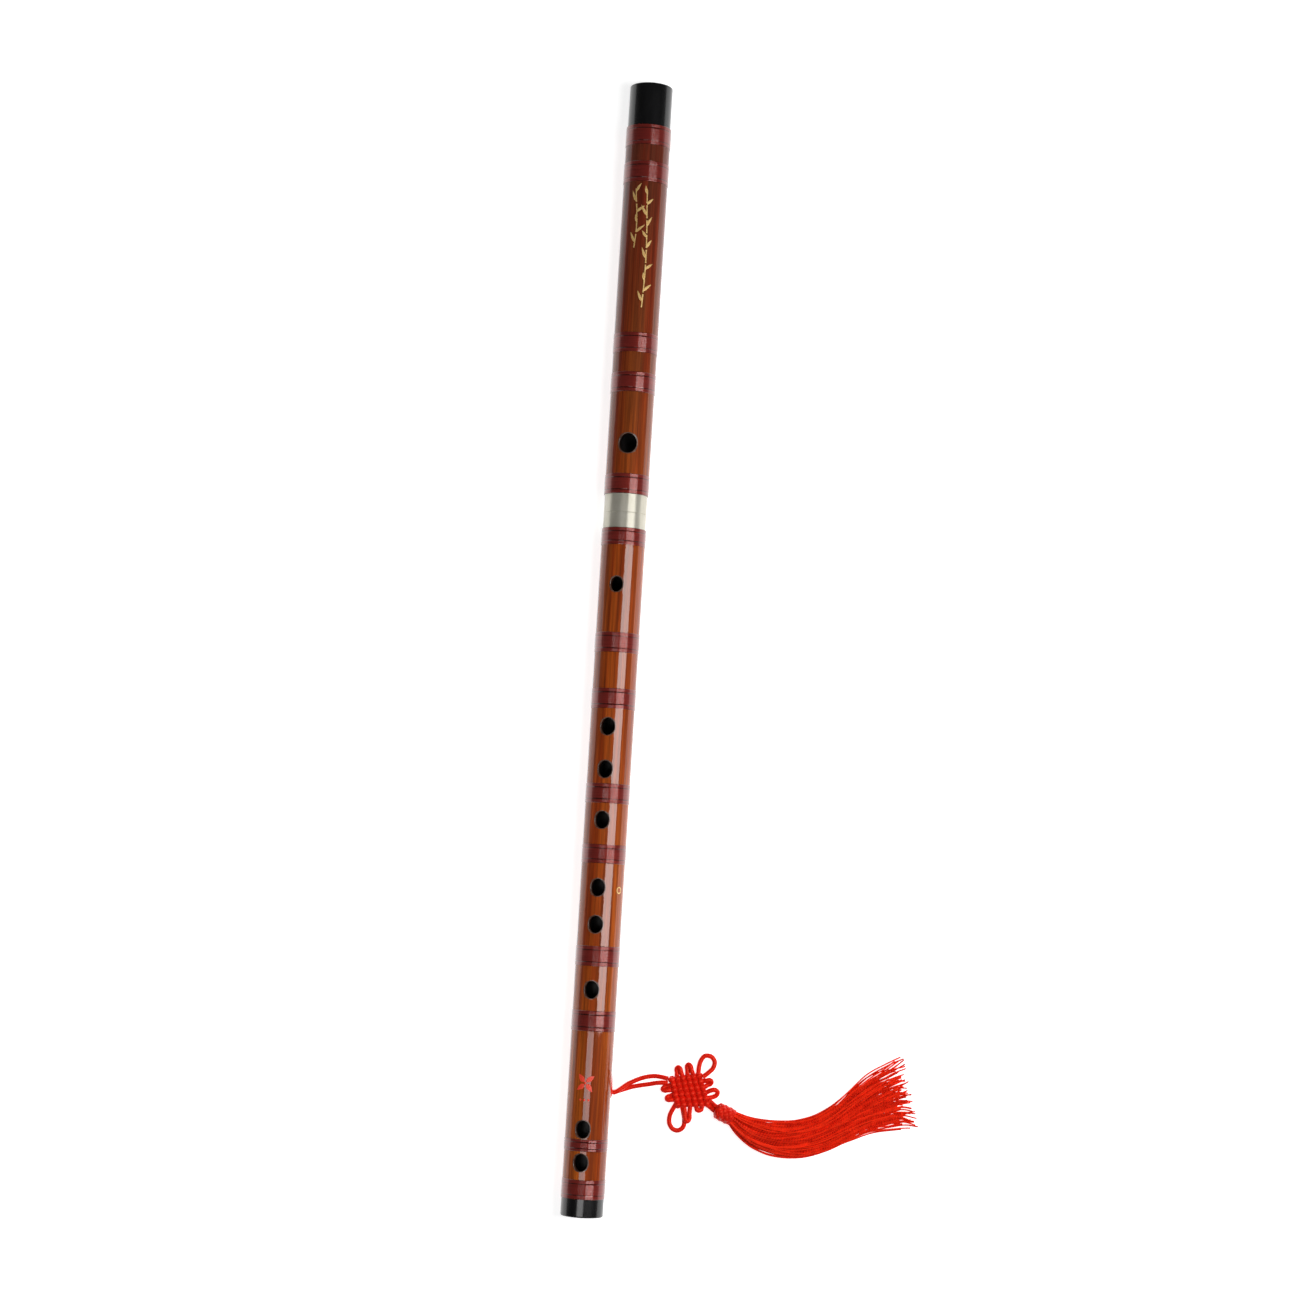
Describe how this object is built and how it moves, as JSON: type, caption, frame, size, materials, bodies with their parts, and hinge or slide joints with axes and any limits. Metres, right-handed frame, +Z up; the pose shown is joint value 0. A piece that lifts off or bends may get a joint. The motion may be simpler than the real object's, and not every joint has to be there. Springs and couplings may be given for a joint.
{
  "type": "bamboo flute",
  "caption": "Transverse bamboo flute in two sections with a metal joint, thread bindings, black end rings and a red knotted cord pendant with a tassel, lying on a table.",
  "frame": {"origin": "under the middle of the flute, on the surface that it lies on", "axes": "+X along the flute from the foot to the head, +Z up, the pendant lies at -Y"},
  "size_m": [0.655, 0.2018, 0.0265],
  "materials": {
    "lacquered_bamboo": "clear gloss lacquer over reddish brown bamboo with fine fibres along it",
    "black_horn": "polished black",
    "thread_binding": "dark red thread wound tight and lacquered",
    "white_metal": "polished nickel silver with fine turning lines",
    "cork": "matt cork",
    "seal_cork": "thin waxed lapping",
    "satin_cord": "bright red satin braided cord",
    "tassel_thread": "bright red twisted silk thread"
  },
  "bodies": {
    "body_section": {"body_tube": "lacquered_bamboo", "foot_end_ring": "black_horn", "tenon_ferrule": "white_metal", "binding_06": "thread_binding", "binding_07": "thread_binding", "binding_08": "thread_binding", "binding_09": "thread_binding", "binding_10": "thread_binding", "binding_11": "thread_binding", "binding_12": "thread_binding", "binding_13": "thread_binding", "binding_14": "thread_binding", "cord_hitch": "satin_cord"},
    "seal": {"tenon_seal": "seal_cork"},
    "head_section": {"head_tube": "lacquered_bamboo", "head_end_ring": "black_horn", "cork_stopper": "cork", "socket_ferrule": "white_metal", "binding_01": "thread_binding", "binding_02": "thread_binding", "binding_03": "thread_binding", "binding_04": "thread_binding", "binding_05": "thread_binding"},
    "pendant": {"cord_strand_a": "satin_cord", "cord_strand_b": "satin_cord", "knot_body": "satin_cord", "knot_loops": "satin_cord", "knot_tails": "satin_cord", "tassel_head": "satin_cord", "tassel_skirt": "tassel_thread"}
  },
  "joints": [
    {"name": "head_turn", "type": "hinge", "parent": "body_section", "child": "seal", "pos_m": [0.0845, 0, 0.01326], "axis": [1, 0, 0], "continuous": true},
    {"name": "head_slide", "type": "slide", "parent": "seal", "child": "head_section", "axis": [1, 0, 0], "range_m": [0, 0.028]},
    {"name": "pendant_swing", "type": "hinge", "parent": "body_section", "child": "pendant", "pos_m": [-0.2575, -0.0132, 0.003], "axis": [0, 0, 1], "range_deg": [-35, 35]}
  ]
}
